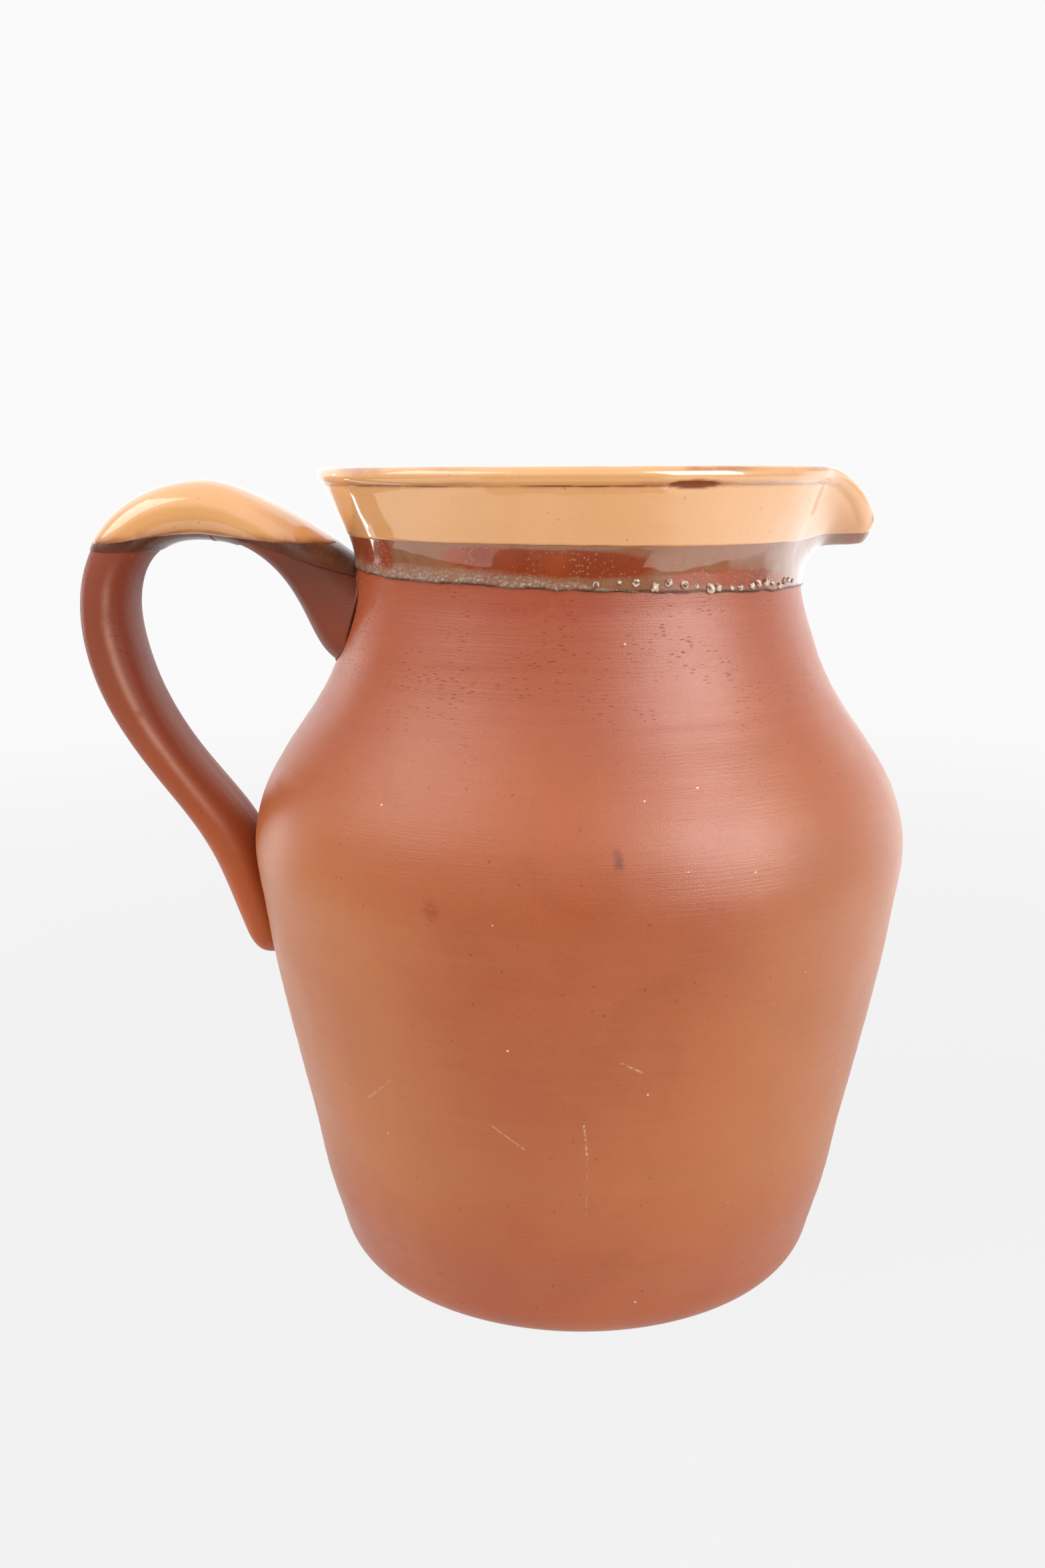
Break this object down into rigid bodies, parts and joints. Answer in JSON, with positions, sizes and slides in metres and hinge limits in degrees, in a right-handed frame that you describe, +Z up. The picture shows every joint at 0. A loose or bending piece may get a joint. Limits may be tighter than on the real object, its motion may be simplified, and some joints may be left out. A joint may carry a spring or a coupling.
{
  "type": "pitcher",
  "caption": "Wheel-thrown ceramic pitcher with a flared collar, rolled lip, drooping pulled spout, arched strap handle, and a cream-slipped and glazed rim over bare red clay",
  "frame": {"origin": "centre of the foot, on the table", "axes": "+Z up, +X towards the spout, -X towards the handle, +Y to the left seen from the handle"},
  "size_m": [0.2099, 0.1662, 0.2041],
  "materials": {
    "bare_clay": "satin, faint turning lines",
    "luting_slip": "matte",
    "cream_slip": "gloss",
    "clear_glaze_on_clay": "gloss, milky at its lower edge",
    "interior_glaze": "gloss",
    "glaze_beads": "gloss"
  },
  "bodies": {
    "root": {"body": "bare_clay", "handle": "bare_clay", "upper_luting_slip": "luting_slip", "lower_luting_slip": "luting_slip", "collar_cream_slip": "cream_slip", "handle_cream_slip": "cream_slip", "collar_glaze": "clear_glaze_on_clay", "handle_glaze": "clear_glaze_on_clay", "interior_glaze": "interior_glaze", "glaze_edge_beads": "glaze_beads"}
  },
  "joints": []
}
